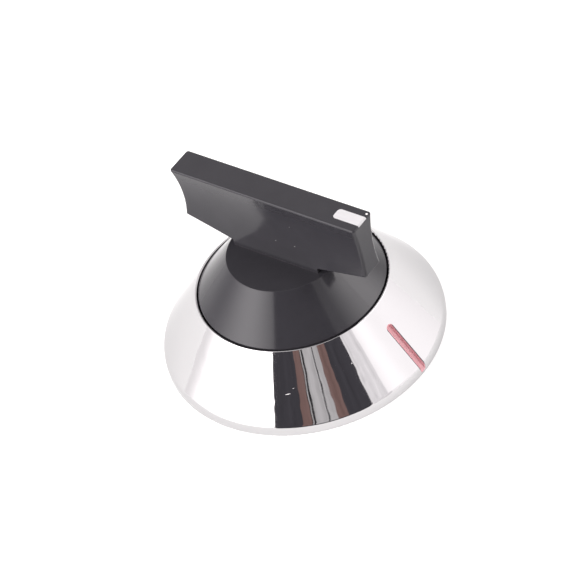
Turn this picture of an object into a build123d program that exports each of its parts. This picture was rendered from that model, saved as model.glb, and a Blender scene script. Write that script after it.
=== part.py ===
import os
from math import cos, hypot, radians, sqrt, tan
from build123d import *

os.makedirs("parts", exist_ok=True)

# Stove knob in its bezel. Base of the bezel on z = 0, turning axis +Z,
# pointer and index mark towards +X. All sizes in mm.

# bezel casting
bezel_diameter = 70.0
bezel_height = 17.4
opening_diameter = 46.8
rim_height = 2.2
rim_round = 2.8
base_round = 0.2
bezel_wall = 2.2
lip_width = 0.55
lip_round = 0.38
lip_edge = 0.15

# ring inside the bezel that the knob's skirt stands over
seat_depth = 5.2
seat_width = 3.0
seat_thickness = 1.8

# screw bosses under the flank
boss_count = 3
boss_circle = 55.0
boss_diameter = 7.0
boss_setback = 0.4
screw_hole = 2.7
screw_depth = 6.0
screw_point = 0.8

# index groove, up the flank from the rim, with its red lining
groove_length = 13.5
groove_floor = 1.5
groove_depth = 0.85
groove_draft = 25.0
paint_thickness = 0.15

# clearances between the turning knob and the bezel
running_gap = 0.3
seat_gap = 0.3

# conical boss of the knob, rising from the bezel's lip to a flat plateau
cone_height = 10.4
plateau_diameter = 28.4
knob_wall = 2.2
roof_thickness = 2.5
cone_round = 0.2

# grip bar: a low upright foot on the plateau, then hollowed sides and ends, each in one arc from foot to top
grip_length = 53.7
grip_height = 19.55
waist_width = 5.5
waist_height = 9.4
side_radius = 46.0
pointer_hollow = 0.35
tail_hollow = 1.05
foot_length = 24.6
foot_height = 1.05
end_round = 0.65
top_round = 0.5

# wings of the grip, which overhang the cone and rise to the ends, the tail a little more
wing_start = 0.15
pointer_rise = 2.75
tail_rise = 3.45
wing_round = 0.35

# white inlay at the pointing end of the grip's top
inlay_length = 7.6
inlay_width = 3.15
inlay_depth = 0.4
inlay_round = 0.9

# hub, D socket for the valve stem, and ribs under the boss
stem_diameter = 8.0
stem_across_flat = 6.5
stem_clearance = 0.05
hub_wall = 3.0
hub_height = 6.0
socket_depth = 17.0
rib_count = 6
rib_thickness = 1.4
rib_setback = 2.0

# bowed leaf spring in a pocket beside the socket's flat
spring_thickness = 0.4
spring_width = 5.0
spring_length = 12.5
spring_bow = 0.9
spring_side_gap = 0.15
spring_seat_gap = 0.02
spring_end_gap = 0.6

# how far cutting shapes run past the faces they cut
overrun = 2.0

# shared values worked out from the sizes above
bezel_r = bezel_diameter / 2
opening_r = opening_diameter / 2
flank_top_r = opening_r + lip_width
flank_run = bezel_r - flank_top_r
flank_rise = bezel_height - rim_height
flank_length = hypot(flank_run, flank_rise)
groove_width = groove_floor + 2 * groove_depth * tan(radians(groove_draft))
seat_top = bezel_height - seat_depth
seat_bottom = seat_top - seat_thickness
knob_r = opening_r - running_gap
skirt_bottom = seat_top + seat_gap
plateau_r = plateau_diameter / 2
plateau_z = bezel_height + cone_height
cone_run = knob_r - plateau_r
roof_bottom = plateau_z - roof_thickness
roof_middle = plateau_z - roof_thickness / 2
grip_half = grip_length / 2
grip_top = plateau_z + grip_height
foot_top = plateau_z + foot_height
waist_half = waist_width / 2
waist_z = plateau_z + waist_height
stem_r = stem_diameter / 2
hub_r = stem_r + hub_wall
flat_x = stem_across_flat - stem_r + stem_clearance
standing = (Align.CENTER, Align.CENTER, Align.MIN)


# solid of revolution about the axis from (radius, height) points, with some corners rounded
def turned(points, rounds):
    profile = make_face(Polyline(*points, close=True))
    for (radius, height), size in rounds:
        corner = profile.vertices().sort_by_distance((radius, height, 0))[0]
        profile = fillet(corner, size)
    return revolve(Plane.XZ * profile, axis=Axis.Z)


# turned bezel: the outside is shared, and the inside points make it a shell or leave it filled
def turned_bezel(inside):
    outside = [(bezel_r, 0), (bezel_r, rim_height), (flank_top_r, bezel_height), (opening_r, bezel_height)]
    sizes = [base_round, rim_round, lip_edge, lip_round]
    return turned(outside + inside, list(zip(outside, sizes)))


def filled_bezel():
    return turned_bezel([(opening_r, 0)])


def bezel_shell():
    slope = flank_run / flank_rise
    level_wall = bezel_wall * flank_length / flank_rise
    rim_inside = rim_height - (level_wall - bezel_wall) / slope
    flank_inside = bezel_r - level_wall - (seat_bottom - rim_height) * slope
    inside = [
        (opening_r, seat_top),
        (opening_r - seat_width, seat_top),
        (opening_r - seat_width, seat_bottom),
        (flank_inside, seat_bottom),
        (bezel_r - bezel_wall, rim_inside),
        (bezel_r - bezel_wall, 0),
    ]
    return turned_bezel(inside)


# slot lying on the flank along +X with drafted sides, round at its upper end and open past the rim
def flank_slot(floor, depth):
    run = flank_run / flank_length
    rise = flank_rise / flank_length
    upper = flank_length - groove_length + groove_width / 2
    lower = flank_length + rim_height + overrun
    flank = Plane(origin=(flank_top_r, 0, bezel_height), x_dir=(run, 0, -rise), z_dir=(rise, 0, run))
    outline = Pos((upper + lower) / 2, 0) * Rectangle(lower - upper, floor)
    outline += Pos(upper, 0) * Circle(floor / 2)
    return extrude(flank * Pos(0, 0, -depth) * outline, amount=depth + overrun, taper=-groove_draft)


def make_bezel():
    bezel = bezel_shell()
    envelope = filled_bezel()
    post = Cylinder(boss_diameter / 2, seat_top - boss_setback, align=standing)
    hole = Cylinder(screw_hole / 2, boss_setback + screw_depth, align=standing)
    hole += Pos(0, 0, boss_setback + screw_depth) * Cone(screw_hole / 2, 0, screw_point, align=standing)
    places = PolarLocations(boss_circle / 2, boss_count, start_angle=180 / boss_count)
    for place in places:
        bezel += place * Pos(0, 0, boss_setback) * post & envelope
        bezel -= place * hole
    return bezel - flank_slot(groove_floor, groove_depth)


def make_index_paint():
    groove = filled_bezel() & flank_slot(groove_floor, groove_depth)
    wall = paint_thickness * (1 / cos(radians(groove_draft)) - tan(radians(groove_draft)))
    return groove - flank_slot(groove_floor - 2 * wall, groove_depth - paint_thickness)


def filled_boss():
    edge = (knob_r, bezel_height)
    rim = (plateau_r, plateau_z)
    points = [(0, skirt_bottom), (knob_r, skirt_bottom), edge, rim, (0, plateau_z)]
    return turned(points, [(edge, cone_round), (rim, cone_round)])


def boss_hollow():
    slope = cone_run / cone_height
    level_wall = knob_wall * hypot(cone_run, cone_height) / cone_height
    skirt_inside = bezel_height - (level_wall - knob_wall) / slope
    roof_inside = knob_r - level_wall - (roof_bottom - bezel_height) * slope
    points = [
        (0, skirt_bottom - overrun),
        (knob_r - knob_wall, skirt_bottom - overrun),
        (knob_r - knob_wall, skirt_inside),
        (roof_inside, roof_bottom),
        (0, roof_bottom),
    ]
    return turned(points, [])


# half the grip's width at a height above the panel
def grip_side(height):
    return waist_half + side_radius - sqrt(side_radius**2 - (height - waist_z)**2)


# the grip's cross-section, from its root in the roof up to its top
def grip_section():
    foot_half = grip_side(foot_top)
    top_half = grip_side(grip_top)
    half = Polyline((0, roof_middle), (foot_half, roof_middle), (foot_half, foot_top))
    half += ThreePointArc((foot_half, foot_top), (waist_half, waist_z), (top_half, grip_top))
    half += Line((top_half, grip_top), (0, grip_top))
    return make_face(half + mirror(half, about=Plane.YZ))


# space under a wing that rises this far to its end, on the +X side
def under_wing(rise):
    inner = (foot_length / 2, foot_top + wing_start)
    outer = (grip_half, foot_top + rise)
    low = roof_middle - overrun
    past = grip_half + overrun
    outline = Polyline(inner, outer, (past, outer[1]), (past, low), (inner[0], low), close=True)
    return extrude(Plane.XZ * make_face(outline), amount=grip_side(foot_top) + overrun, both=True)


# rounds the lower edges of the wing on one side
def round_wing(grip, side):
    faces = grip.faces().filter_by(lambda face: face.normal_at().Z < -0.5)
    under = faces.filter_by(lambda face: side * face.center().X > foot_length / 2)[0]
    lower = under.edges().filter_by(lambda edge: side * edge.center().X > foot_length / 2 + wing_round)
    return fillet(lower, wing_round)


# what hollows an end this deep halfway up, on the +X side
def end_hollow(depth):
    bottom = (grip_half, foot_top)
    deepest = (grip_half - depth, (foot_top + grip_top) / 2)
    top = (grip_half, grip_top)
    outline = ThreePointArc(bottom, deepest, top) + Line(top, bottom)
    return extrude(Plane.XZ * make_face(outline), amount=grip_side(grip_top) + overrun, both=True)


def make_grip():
    grip = extrude(Plane.YZ * grip_section(), amount=grip_half, both=True)
    grip -= end_hollow(pointer_hollow)
    grip -= mirror(end_hollow(tail_hollow), about=Plane.YZ)
    grip -= under_wing(pointer_rise)
    grip -= mirror(under_wing(tail_rise), about=Plane.YZ)
    for end in (-1, 0):
        face = grip.faces().sort_by(Axis.X)[end]
        sides = face.edges().filter_by(lambda edge: abs(edge.center().Y) > waist_half / 2)
        grip = fillet(sides, end_round)
    grip = round_wing(grip, 1)
    grip = round_wing(grip, -1)
    top = grip.faces().sort_by(Axis.Z)[-1]
    return fillet(top.edges(), top_round)


# recess in the grip's top, open at the pointing end
def inlay_recess():
    inner = grip_half - inlay_length
    outer = grip_half + overrun
    outline = Pos((inner + outer) / 2, 0) * Rectangle(outer - inner, inlay_width)
    outline = fillet(outline.vertices().sort_by(Axis.X)[:2], inlay_round)
    return extrude(Pos(0, 0, grip_top - inlay_depth) * outline, amount=inlay_depth + overrun)


def stem_socket():
    bore = Circle(stem_r + stem_clearance)
    beyond_flat = Pos(-flat_x - stem_r, 0) * Rectangle(stem_diameter, 2 * stem_diameter)
    return extrude(Pos(0, 0, hub_height) * (bore - beyond_flat), amount=socket_depth)


# pocket for the leaf spring, open to the socket and at the hub's end
def spring_pocket():
    depth = spring_bow + spring_thickness
    length = spring_length + 2 * spring_end_gap
    width = spring_width + 2 * spring_side_gap
    corner = (Align.MIN, Align.CENTER, Align.MIN)
    return Pos(-flat_x - depth, 0, hub_height) * Box(depth + flat_x, width, length, align=corner)


def make_knob_body():
    boss = filled_boss()
    body = boss - boss_hollow()
    rib_bottom = skirt_bottom + rib_setback
    rib_reach = knob_r - knob_wall / 2
    rib = Pos(0, 0, rib_bottom) * Box(
        rib_reach, rib_thickness, roof_middle - rib_bottom, align=(Align.MIN, Align.CENTER, Align.MIN))
    for place in PolarLocations(0, rib_count, start_angle=180 / rib_count):
        body += place * rib & boss
    body += Pos(0, 0, hub_height) * Cylinder(hub_r, roof_middle - hub_height, align=standing)
    body += make_grip()
    return body - stem_socket() - spring_pocket() - inlay_recess()


def make_pointer_inlay():
    return make_grip() & inlay_recess()


def make_shaft_spring():
    back = spring_seat_gap - flat_x - spring_bow - spring_thickness
    low = hub_height + spring_end_gap
    high = low + spring_length
    middle = (low + high) / 2
    front = back + spring_thickness
    leaf = ThreePointArc((back, low), (back + spring_bow, middle), (back, high))
    leaf += Line((back, high), (front, high))
    leaf += ThreePointArc((front, high), (front + spring_bow, middle), (front, low))
    leaf += Line((front, low), (back, low))
    return extrude(Plane.XZ * make_face(leaf), amount=spring_width / 2, both=True)


export_step(make_bezel(), "parts/bezel.step")
export_step(make_index_paint(), "parts/index_paint.step")
export_step(make_knob_body(), "parts/knob_body.step")
export_step(make_pointer_inlay(), "parts/pointer_inlay.step")
export_step(make_shaft_spring(), "parts/shaft_spring.step")
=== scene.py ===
import bpy
from math import cos, radians, sin
from mathutils import Matrix, Quaternion, Vector

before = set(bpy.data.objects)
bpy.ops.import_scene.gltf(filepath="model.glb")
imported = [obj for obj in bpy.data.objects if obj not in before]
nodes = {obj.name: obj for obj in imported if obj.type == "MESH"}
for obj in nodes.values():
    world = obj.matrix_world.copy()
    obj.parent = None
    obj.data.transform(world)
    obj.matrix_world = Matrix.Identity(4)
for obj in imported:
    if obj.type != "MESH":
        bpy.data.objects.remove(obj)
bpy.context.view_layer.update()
scene = bpy.context.scene
mm = 0.001
print("frame: loaded", ", ".join(sorted(nodes)))


# sRGB hex to the linear colour that Blender's sockets take
def hexColour(code):
    steps = [int(code[i:i + 2], 16) / 255 for i in (1, 3, 5)]
    linear = [s / 12.92 if s <= 0.04045 else ((s + 0.055) / 1.055) ** 2.4 for s in steps]
    return (*linear, 1.0)


# how many pattern cells of this size, in mm, go into a metre
def perMetre(size):
    return 1 / (size * mm)


# one node: its own options, the values on its sockets, and the outputs linked into it;
# a Mix of numbers takes sockets 2 and 3 and gives 0, one of colours takes 6 and 7 and gives 2
def addNode(tree, kind, options={}, values={}, links={}):
    node = tree.nodes.new("ShaderNode" + kind)
    for name, setting in options.items():
        setattr(node, name, setting)
    for socket, setting in values.items():
        node.inputs[socket].default_value = setting
    for socket, source in links.items():
        tree.links.new(source, node.inputs[socket])
    return node


# empty node tree of a new material
def newFinish(name):
    finish = bpy.data.materials.new(name)
    finish.use_nodes = True
    finish.node_tree.nodes.clear()
    return finish, finish.node_tree


def coat(node, finish):
    slots = nodes[node].data.materials
    slots.clear()
    slots.append(finish)
    print("finish:", finish.name, "on", node)


# direction from the knob, in degrees round from where the camera stands and up from the floor
def direction(about, up):
    turn = radians(cameraPlace["round"] + about)
    level = cos(radians(up))
    return Vector((sin(turn) * level, -cos(turn) * level, sin(radians(up))))


# camera: a long lens from well above, tilted a little
cameraPlace = {
    "round": 44.85,                # degrees round from -Y
    "up": 43.66,                   # degrees above the floor
    "tilt": -14.875,               # degrees about the lens
    "aim": (1.915, -4.0, 19.014),  # mm
    "distance": 795.75,            # mm
    "lens": 207.6,                 # mm
    "sensor": 36.0,                # mm wide
    "farthest": 50.0,              # m, how far it sees
}


def placeCamera(place):
    camera = bpy.data.objects.new("camera", bpy.data.cameras.new("camera"))
    scene.collection.objects.link(camera)
    back = direction(0, place["up"])
    spot = Vector(place["aim"]) * mm + back * place["distance"] * mm
    tilt = Matrix.Rotation(radians(place["tilt"]), 3, "Z")
    turn = back.to_track_quat("Z", "Y").to_matrix() @ tilt
    camera.matrix_world = Matrix.Translation(spot) @ turn.to_4x4()
    camera.data.lens = place["lens"]
    camera.data.sensor_width = place["sensor"]
    camera.data.clip_end = place["farthest"]
    scene.camera = camera
    print("camera: placed")


placeCamera(cameraPlace)

# studio: white acrylic table lit a little from below, and a pale dome with soft glows in it
studio = {
    "tableSize": 8.0,        # m
    "tableDrop": 0.02,       # mm under the rim's foot, so that the two faces don't fight
    "table": "#d2d2d1",
    "tableGlow": 0.52,
    "domeLow": 1.36,         # brightness of the dome at the table
    "domeHigh": 0.95,        # and overhead
    "light": "#fffbfc",      # a little rosy
    "backdrop": "#ffffff",   # what the camera sees past the table
    "backdropBright": 1.0,
    # degrees round, up and tipped; reach to the sides and up, of the dome's radius; brightness
    "glows": [
        {"round": -72, "up": 27, "tip": 0, "wide": 0.84, "tall": 0.58, "bright": 7.3},
        {"round": 86, "up": 21.7, "tip": -22, "wide": 0.74, "tall": 0.16, "bright": 6.5},
        {"round": 78, "up": 12, "tip": 0, "wide": 1.2, "tall": 0.7, "bright": 0.45},
        {"round": 54, "up": 21, "tip": 0, "wide": 0.3, "tall": 0.3, "bright": 0.35},
    ],
}


def layTable(look):
    half = look["tableSize"] / 2
    corners = [(-half, -half, 0), (half, -half, 0), (half, half, 0), (-half, half, 0)]
    mesh = bpy.data.meshes.new("table")
    mesh.from_pydata(corners, [], [(0, 1, 2, 3)])
    table = bpy.data.objects.new("table", mesh)
    table.location.z = -look["tableDrop"] * mm
    scene.collection.objects.link(table)
    finish, tree = newFinish("white acrylic table")
    top = addNode(tree, "BsdfDiffuse", values={"Color": hexColour(look["table"])})
    below = addNode(tree, "Emission", values={"Strength": look["tableGlow"]})
    both = addNode(tree, "AddShader", links={0: top.outputs[0], 1: below.outputs[0]})
    # clear from below, so that the underside can be looked at
    clear = addNode(tree, "BsdfTransparent")
    under = addNode(tree, "NewGeometry").outputs["Backfacing"]
    sides = addNode(tree, "MixShader", links={0: under, 1: both.outputs[0], 2: clear.outputs[0]})
    addNode(tree, "OutputMaterial", links={"Surface": sides.outputs[0]})
    mesh.materials.append(finish)


def lightDome(look):
    world = bpy.data.worlds.new("studio")
    world.use_nodes = True
    scene.world = world
    tree = world.node_tree
    tree.nodes.clear()
    where = addNode(tree, "TexCoord").outputs["Generated"]
    parts = addNode(tree, "SeparateXYZ", links={0: where})
    level = addNode(tree, "MapRange", values={
        "To Min": look["domeLow"], "To Max": look["domeHigh"]}, links={"Value": parts.outputs["Z"]})
    for glow in look["glows"]:
        middle = direction(glow["round"], glow["up"])
        turn = middle.to_track_quat("X", "Z") @ Quaternion((1, 0, 0), radians(glow["tip"]))
        spread = addNode(tree, "Mapping", {"vector_type": "TEXTURE"}, {
            "Location": middle, "Rotation": turn.to_euler(),
            "Scale": (1, glow["wide"], glow["tall"])}, {"Vector": where})
        away = addNode(tree, "VectorMath", {"operation": "LENGTH"}, links={0: spread.outputs[0]})
        # full in the middle, nothing at the edge
        soft = addNode(tree, "MapRange", {"interpolation_type": "SMOOTHSTEP"}, {
            "From Min": 1.0, "From Max": 0.0, "To Max": glow["bright"]},
            {"Value": away.outputs["Value"]})
        level = addNode(tree, "Math", links={0: level.outputs[0], 1: soft.outputs[0]})
    dome = addNode(tree, "Background", values={"Color": hexColour(look["light"])},
                   links={"Strength": level.outputs[0]})
    plain = addNode(tree, "Background", values={
        "Color": hexColour(look["backdrop"]), "Strength": look["backdropBright"]})
    path = addNode(tree, "LightPath")
    both = addNode(tree, "MixShader", links={
        0: path.outputs["Is Camera Ray"], 1: dome.outputs[0], 2: plain.outputs[0]})
    addNode(tree, "OutputWorld", links={"Surface": both.outputs[0]})


layTable(studio)
lightDome(studio)
scene.view_settings.view_transform = "Standard"
print("studio: table and dome up")

# set before the knob, standing on the table between the glows, which the chrome shows as its dark
# band: a cloth wall, and before its middle two posts and a panel; to the right a pale curtain
frontSet = {
    "bright": 1.6,
    "facet": 3.0,              # degrees, about the width of a card's flat facets
    "stain": 0.06,             # m, size of the stains
    "stainRange": (0.3, 0.7),  # of the noise, from stained to clean
    "stainTone": (0.8, 1.1),   # brightness there
    # m away and up; each span in degrees round from the camera, and m up where it begins
    "cards": [
        {"name": "dark cloth", "colour": "#413f44", "away": 1.16, "high": 1.35, "spans": [
            (-38.6, -37.6, 0.32), (-37.6, -36.2, 0.14), (-36.2, 30.2, 0.0),
            (30.2, 31.6, 0.14), (31.6, 32.6, 0.32)]},
        {"name": "brown wood", "colour": "#7a625e", "away": 1.15, "high": 0.72, "spans": [
            (-18.5, -12.2, 0.16), (6.2, 14.6, 0.16)]},
        {"name": "grey board", "colour": "#bab7b8", "away": 1.15, "high": 0.72, "spans": [
            (-11.6, -10.8, 0.16), (-9.2, 0.4, 0.16), (1.4, 6.2, 0.16)]},
        {"name": "black seam", "colour": "#222225", "away": 1.155, "high": 0.72, "spans": [
            (-12.2, -9.2, 0.16), (0.4, 1.4, 0.16)]},
        {"name": "pale curtain", "colour": "#e8e4e6", "away": 1.15, "high": 1.1, "spans": [
            (33.4, 46.0, 0.0)]},
    ],
}


def hangCards(look):
    stained, unmarked = look["stainRange"]
    dull, full = look["stainTone"]
    for card in look["cards"]:
        points, faces = [], []
        for start, end, low in card["spans"]:
            steps = max(1, round((end - start) / look["facet"]))
            for i in range(steps):
                base = len(points)
                for part in (i, i + 1):
                    side = direction(start + (end - start) * part / steps, 0) * card["away"]
                    points += [(side.x, side.y, low), (side.x, side.y, card["high"])]
                faces.append((base, base + 2, base + 3, base + 1))
        mesh = bpy.data.meshes.new(card["name"])
        mesh.from_pydata(points, [], faces)
        finish, tree = newFinish(card["name"])
        where = addNode(tree, "TexCoord").outputs["Object"]
        stains = addNode(tree, "TexNoise", values={"Scale": 1 / look["stain"], "Detail": 2},
                         links={"Vector": where})
        level = addNode(tree, "MapRange", values={
            "From Min": stained, "From Max": unmarked,
            "To Min": dull * look["bright"], "To Max": full * look["bright"]},
            links={"Value": stains.outputs[0]})
        glow = addNode(tree, "Emission", values={"Color": hexColour(card["colour"])},
                       links={"Strength": level.outputs[0]})
        addNode(tree, "OutputMaterial", links={"Surface": glow.outputs[0]})
        mesh.materials.append(finish)
        wall = bpy.data.objects.new(card["name"], mesh)
        scene.collection.objects.link(wall)
        wall.visible_camera = False
        print("studio:", card["name"], "up")


hangCards(frontSet)


# where small marks lie on a surface, 0 to 1; each runs from one point to another, in mm, with half
# its width, and is solid for this share of the way out to its edge
def markPlaces(tree, where, marks, solid=0.7):
    place = None
    for start, end, half in marks:
        run = Vector(end) - Vector(start)
        spot = addNode(tree, "Mapping", {"vector_type": "TEXTURE"}, {
            "Location": (Vector(start) + Vector(end)) * mm / 2,
            "Rotation": run.to_track_quat("X", "Z").to_euler(),
            "Scale": (run.length * mm / 2, half * mm, half * mm)}, {"Vector": where})
        away = addNode(tree, "VectorMath", {"operation": "LENGTH"}, links={0: spot.outputs[0]})
        mark = addNode(tree, "MapRange", values={"From Min": 1.0, "From Max": solid},
                       links={"Value": away.outputs["Value"]})
        if place:
            mark = addNode(tree, "Math", {"operation": "MAXIMUM"},
                           links={0: place, 1: mark.outputs[0]})
        place = mark.outputs[0]
    return place


# chrome plate over a zinc casting, buffed before plating: a clear mirror with a slow ripple in it,
# and a dull cast skin inside where the plate is thin
chromePlate = {
    "plate": "#c6c5c6",
    "glance": "#ebebeb",        # tint at a low angle, where chrome gives back less than other metals
    "inside": "#8e9092",
    "rough": (0.035, 0.06),
    "insideRough": 0.42,
    "ripple": 11.0,             # mm between the ripples
    "rippleDepth": 0.09,        # mm
    "haze": 5.0,                # mm, size of the hazy patches
    "hazeRange": (0.35, 0.7),   # of the noise, from clear to hazy
    "grain": 0.5,               # mm, cast skin
    "grainDepth": 0.05,         # mm
    "slope": 36.0,              # degrees, how far the flank's face is tipped up
    "flankFrom": (28.4, 28.9),  # mm out along the flank's normal, where its plate begins
    "rimFrom": (34.4, 34.6),    # mm from the axis, where the rim's plate begins
    "scuff": "#dedcdc",
    "scuffRough": 0.5,
    "scuffs": [                 # mm, from, to and half the width
        ((14.19, -26.5, 8.99), (15.4, -25.65, 9.19), 0.14),
        ((24.9, -13.15, 11.55), (25.1, -12.9, 11.55), 0.2),
        ((15.5, -24.8, 10.1), (15.85, -24.6, 10.15), 0.09),
    ],
}


def plateBezel(look):
    finish, tree = newFinish("chrome plate on cast zinc")
    where = addNode(tree, "TexCoord").outputs["Object"]
    # how far out along the flank's normal, and from the axis: these tell the outside from the inside
    flat = addNode(tree, "VectorMath", {"operation": "MULTIPLY"}, {1: (1, 1, 0)}, {0: where})
    length = addNode(tree, "VectorMath", {"operation": "LENGTH"}, links={0: flat.outputs[0]})
    radius = length.outputs["Value"]
    parts = addNode(tree, "SeparateXYZ", links={0: where})
    slope = radians(look["slope"])
    along = addNode(tree, "Math", {"operation": "MULTIPLY"}, {1: cos(slope)}, {0: radius})
    out = addNode(tree, "Math", {"operation": "MULTIPLY_ADD"}, {1: sin(slope)},
                  {0: parts.outputs["Z"], 2: along.outputs[0]})
    bare, covered = look["flankFrom"]
    onFlank = addNode(tree, "MapRange", values={"From Min": bare * mm, "From Max": covered * mm},
                      links={"Value": out.outputs[0]})
    bare, covered = look["rimFrom"]
    onRim = addNode(tree, "MapRange", values={"From Min": bare * mm, "From Max": covered * mm},
                    links={"Value": radius})
    outside = addNode(tree, "Math", {"operation": "MAXIMUM"},
                      links={0: onFlank.outputs[0], 1: onRim.outputs[0]})
    plated = outside.outputs[0]

    colour = addNode(tree, "Mix", {"data_type": "RGBA"}, {
        6: hexColour(look["inside"]), 7: hexColour(look["plate"])}, {0: plated})
    haze = addNode(tree, "TexNoise", values={"Scale": perMetre(look["haze"]), "Detail": 3},
                   links={"Vector": where})
    clear, hazy = look["hazeRange"]
    smooth, dull = look["rough"]
    polish = addNode(tree, "MapRange", values={
        "From Min": clear, "From Max": hazy, "To Min": smooth, "To Max": dull},
        links={"Value": haze.outputs[0]})
    rough = addNode(tree, "Mix", values={2: look["insideRough"]},
                    links={0: plated, 3: polish.outputs[0]})
    # few scuffs from cleaning
    scuffed = markPlaces(tree, where, look["scuffs"])
    colour = addNode(tree, "Mix", {"data_type": "RGBA"}, {7: hexColour(look["scuff"])},
                     {0: scuffed, 6: colour.outputs[2]})
    rough = addNode(tree, "Mix", values={3: look["scuffRough"]},
                    links={0: scuffed, 2: rough.outputs[0]})
    ripple = addNode(tree, "TexNoise", values={"Scale": perMetre(look["ripple"]), "Detail": 2},
                     links={"Vector": where})
    waves = addNode(tree, "Bump", values={"Distance": look["rippleDepth"] * mm},
                    links={"Height": ripple.outputs[0]})
    # cast skin only where it isn't plated
    grain = addNode(tree, "TexNoise", values={"Scale": perMetre(look["grain"]), "Detail": 2},
                    links={"Vector": where})
    skin = addNode(tree, "Math", {"operation": "MULTIPLY_ADD", "use_clamp": True},
                   {1: -1.0, 2: 1.0}, {0: plated})
    cast = addNode(tree, "Bump", values={"Distance": look["grainDepth"] * mm}, links={
        "Height": grain.outputs[0], "Strength": skin.outputs[0], "Normal": waves.outputs[0]})
    shader = addNode(tree, "BsdfPrincipled", values={
        "Metallic": 1.0, "Specular Tint": hexColour(look["glance"])}, links={
        "Base Color": colour.outputs[2], "Roughness": rough.outputs[0], "Normal": cast.outputs[0]})
    addNode(tree, "OutputMaterial", links={"Surface": shader.outputs[0]})
    coat("bezel", finish)


plateBezel(chromePlate)

# black phenolic, compression moulded in a vapour-blasted tool: satin, with a fine even grain and
# edges that handling has rubbed paler
blackPhenolic = {
    "dark": "#2d2c30",
    "light": "#353438",
    "rubbed": "#3c3b3f",
    "rough": (0.11, 0.16),
    "ior": 1.5,
    "shine": 0.24,              # specular level, taken down by the filler
    "mottle": 7.0,              # mm, clouds in the filler
    "mottleRange": (0.3, 0.7),  # of the noise, from smooth to dull
    "grain": 0.45,              # mm; the tool's is about 0.1 mm, drawn coarser so that it shows
    "grainDepth": 0.0015,       # mm
    "edge": 0.35,               # mm, width of the rubbed edges
    "edgeBend": (0.995, 0.8),   # how alike the two normals are, from unrubbed to rubbed
    "dust": "#918f8e",
    "specks": [                 # mm, from, to and half the width
        ((0.8, -2.89, 33.6), (1.05, -2.89, 33.75), 0.11),
        ((6.35, -2.87, 33.75), (6.6, -2.87, 33.9), 0.12),
        ((6.2, -2.84, 40.1), (6.4, -2.84, 40.2), 0.09),
    ],
    # white of the painted highlight, the glint on the top's far corner
    "enamel": "#f4f2f0",
    "paintedGlints": [                  # mm, from, to and half the width of a painted highlight, the glint on the top's far corner
        ((25.95, 2.6, 47.35), (26.6, 2.62, 47.35), 0.3),
    ],
}


def mouldKnob(look):
    finish, tree = newFinish("moulded black phenolic")
    where = addNode(tree, "TexCoord").outputs["Object"]
    clouds = addNode(tree, "TexNoise", values={"Scale": perMetre(look["mottle"]), "Detail": 4},
                     links={"Vector": where})
    body = addNode(tree, "Mix", {"data_type": "RGBA"}, {
        6: hexColour(look["dark"]), 7: hexColour(look["light"])}, {0: clouds.outputs[0]})
    # rubbed edges: where the rounded-over normal leaves the true one
    rounded = addNode(tree, "Bevel", {"samples": 6}, {"Radius": look["edge"] * mm})
    facing = addNode(tree, "NewGeometry").outputs["Normal"]
    bend = addNode(tree, "VectorMath", {"operation": "DOT_PRODUCT"},
                   links={0: rounded.outputs[0], 1: facing})
    alike, apart = look["edgeBend"]
    rubbed = addNode(tree, "MapRange", values={"From Min": alike, "From Max": apart},
                     links={"Value": bend.outputs["Value"]})
    worn = addNode(tree, "Mix", {"data_type": "RGBA"}, {7: hexColour(look["rubbed"])},
                   {0: rubbed.outputs[0], 6: body.outputs[2]})
    # few grains of dust on the side, and a painted highlight: a white glint on the top's far corner
    dusty = addNode(tree, "Mix", {"data_type": "RGBA"}, {7: hexColour(look["dust"])},
                    {0: markPlaces(tree, where, look["specks"]), 6: worn.outputs[2]})
    dustAndGlint = addNode(tree, "Mix", {"data_type": "RGBA"}, {7: hexColour(look["enamel"])},
                      {0: markPlaces(tree, where, look["paintedGlints"]), 6: dusty.outputs[2]})
    low, high = look["mottleRange"]
    smooth, dull = look["rough"]
    satin = addNode(tree, "MapRange", values={
        "From Min": low, "From Max": high, "To Min": smooth, "To Max": dull},
        links={"Value": clouds.outputs[0]})
    grain = addNode(tree, "TexNoise", values={"Scale": perMetre(look["grain"]), "Detail": 2},
                    links={"Vector": where})
    tool = addNode(tree, "Bump", values={"Distance": look["grainDepth"] * mm},
                   links={"Height": grain.outputs[0]})
    shader = addNode(tree, "BsdfPrincipled", values={
        "IOR": look["ior"], "Specular IOR Level": look["shine"]}, links={
        "Base Color": dustAndGlint.outputs[2], "Roughness": satin.outputs[0], "Normal": tool.outputs[0]})
    addNode(tree, "OutputMaterial", links={"Surface": shader.outputs[0]})
    coat("knob_body", finish)


mouldKnob(blackPhenolic)

# white enamel, wiped into the recess and left to dry: nearly flat, with faint wiping streaks along
# the grip
whiteEnamel = {
    "thick": "#d0cfd0",
    "thin": "#c1c0c2",
    "rough": (0.32, 0.5),
    "ior": 1.5,
    "streak": 0.5,           # mm across the streaks
    "drawn": (0.15, 1, 1),   # and drawn out along X
    "dips": 0.006,           # mm
}


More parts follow.
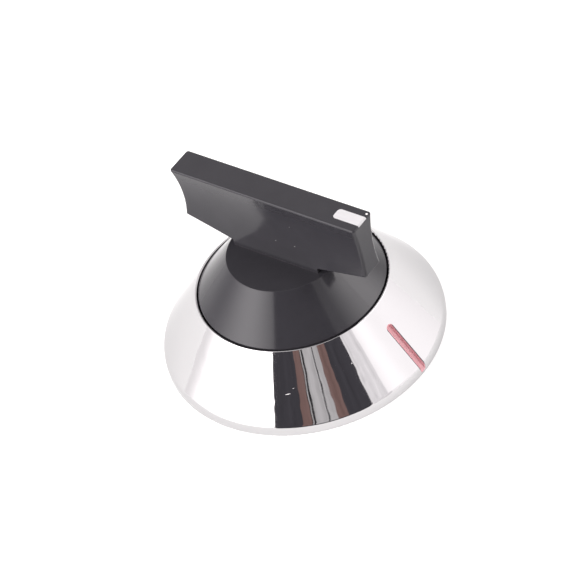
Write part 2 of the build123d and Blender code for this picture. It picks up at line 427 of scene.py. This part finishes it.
def fillPointer(look):
    finish, tree = newFinish("wiped white enamel")
    where = addNode(tree, "TexCoord").outputs["Object"]
    drawn = addNode(tree, "Mapping", values={"Scale": look["drawn"]}, links={"Vector": where})
    streaks = addNode(tree, "TexNoise", values={"Scale": perMetre(look["streak"]), "Detail": 3},
                      links={"Vector": drawn.outputs[0]})
    cover = addNode(tree, "Mix", {"data_type": "RGBA"}, {
        6: hexColour(look["thin"]), 7: hexColour(look["thick"])}, {0: streaks.outputs[0]})
    smooth, dull = look["rough"]
    satin = addNode(tree, "MapRange", values={"To Min": smooth, "To Max": dull},
                    links={"Value": streaks.outputs[0]})
    dips = addNode(tree, "Bump", values={"Distance": look["dips"] * mm},
                   links={"Height": streaks.outputs[0]})
    shader = addNode(tree, "BsdfPrincipled", values={"IOR": look["ior"]}, links={
        "Base Color": cover.outputs[2], "Roughness": satin.outputs[0], "Normal": dips.outputs[0]})
    addNode(tree, "OutputMaterial", links={"Surface": shader.outputs[0]})
    coat("pointer_inlay", finish)


fillPointer(whiteEnamel)

# faded red enamel brushed into the index groove: glossy, thin and pinker where the brush drew it
# out, with a painted dark line of shade along its edges
redEnamel = {
    "thick": "#c8858c",
    "thin": "#d8a1a7",
    "rough": (0.18, 0.34),
    "ior": 1.5,
    "streak": 0.6,             # mm across the brush marks
    "drawn": (0.2, 1, 0.2),    # and drawn out down the flank
    "dips": 0.01,              # mm
    "shadeLine": "#454346",
    "shadeLineFrom": (0.9, 0.96),  # mm off the middle, where the painted edge shade begins
}


def lineIndex(look):
    finish, tree = newFinish("faded red enamel")
    where = addNode(tree, "TexCoord").outputs["Object"]
    drawn = addNode(tree, "Mapping", values={"Scale": look["drawn"]}, links={"Vector": where})
    streaks = addNode(tree, "TexNoise", values={"Scale": perMetre(look["streak"]), "Detail": 2},
                      links={"Vector": drawn.outputs[0]})
    cover = addNode(tree, "Mix", {"data_type": "RGBA"}, {
        6: hexColour(look["thick"]), 7: hexColour(look["thin"])}, {0: streaks.outputs[0]})
    # painted shade: a dark line along the groove's edges, darker farther off the middle
    parts = addNode(tree, "SeparateXYZ", links={0: where})
    off = addNode(tree, "Math", {"operation": "ABSOLUTE"}, links={0: parts.outputs["Y"]})
    unmarked, fullShade = look["shadeLineFrom"]
    edges = addNode(tree, "MapRange", values={"From Min": unmarked * mm, "From Max": fullShade * mm},
                    links={"Value": off.outputs[0]})
    edgeShaded = addNode(tree, "Mix", {"data_type": "RGBA"}, {7: hexColour(look["shadeLine"])},
                    {0: edges.outputs[0], 6: cover.outputs[2]})
    smooth, dull = look["rough"]
    gloss = addNode(tree, "MapRange", values={"To Min": smooth, "To Max": dull},
                    links={"Value": streaks.outputs[0]})
    dips = addNode(tree, "Bump", values={"Distance": look["dips"] * mm},
                   links={"Height": streaks.outputs[0]})
    shader = addNode(tree, "BsdfPrincipled", values={"IOR": look["ior"]}, links={
        "Base Color": edgeShaded.outputs[2], "Roughness": gloss.outputs[0], "Normal": dips.outputs[0]})
    addNode(tree, "OutputMaterial", links={"Surface": shader.outputs[0]})
    coat("index_paint", finish)


lineIndex(redEnamel)

# spring steel strip, cold rolled and blued a little by tempering: fine streaks along the strip
springSteel = {
    "steel": "#9a9da3",
    "blued": "#7d818c",
    "rough": (0.22, 0.4),
    "streak": 0.25,          # mm across the rolling streaks
    "drawn": (1, 1, 0.04),   # and drawn out along Z
    "blue": 4.0,             # mm, size of the blued patches
    "depth": 0.002,          # mm
}


def rollSpring(look):
    finish, tree = newFinish("rolled spring steel")
    where = addNode(tree, "TexCoord").outputs["Object"]
    drawn = addNode(tree, "Mapping", values={"Scale": look["drawn"]}, links={"Vector": where})
    streaks = addNode(tree, "TexNoise", values={"Scale": perMetre(look["streak"]), "Detail": 2},
                      links={"Vector": drawn.outputs[0]})
    patches = addNode(tree, "TexNoise", values={"Scale": perMetre(look["blue"])},
                      links={"Vector": where})
    colour = addNode(tree, "Mix", {"data_type": "RGBA"}, {
        6: hexColour(look["steel"]), 7: hexColour(look["blued"])}, {0: patches.outputs[0]})
    smooth, dull = look["rough"]
    rough = addNode(tree, "MapRange", values={"To Min": smooth, "To Max": dull},
                    links={"Value": streaks.outputs[0]})
    lines = addNode(tree, "Bump", values={"Distance": look["depth"] * mm},
                    links={"Height": streaks.outputs[0]})
    shader = addNode(tree, "BsdfPrincipled", values={"Metallic": 1.0}, links={
        "Base Color": colour.outputs[2], "Roughness": rough.outputs[0], "Normal": lines.outputs[0]})
    addNode(tree, "OutputMaterial", links={"Surface": shader.outputs[0]})
    coat("shaft_spring", finish)


rollSpring(springSteel)
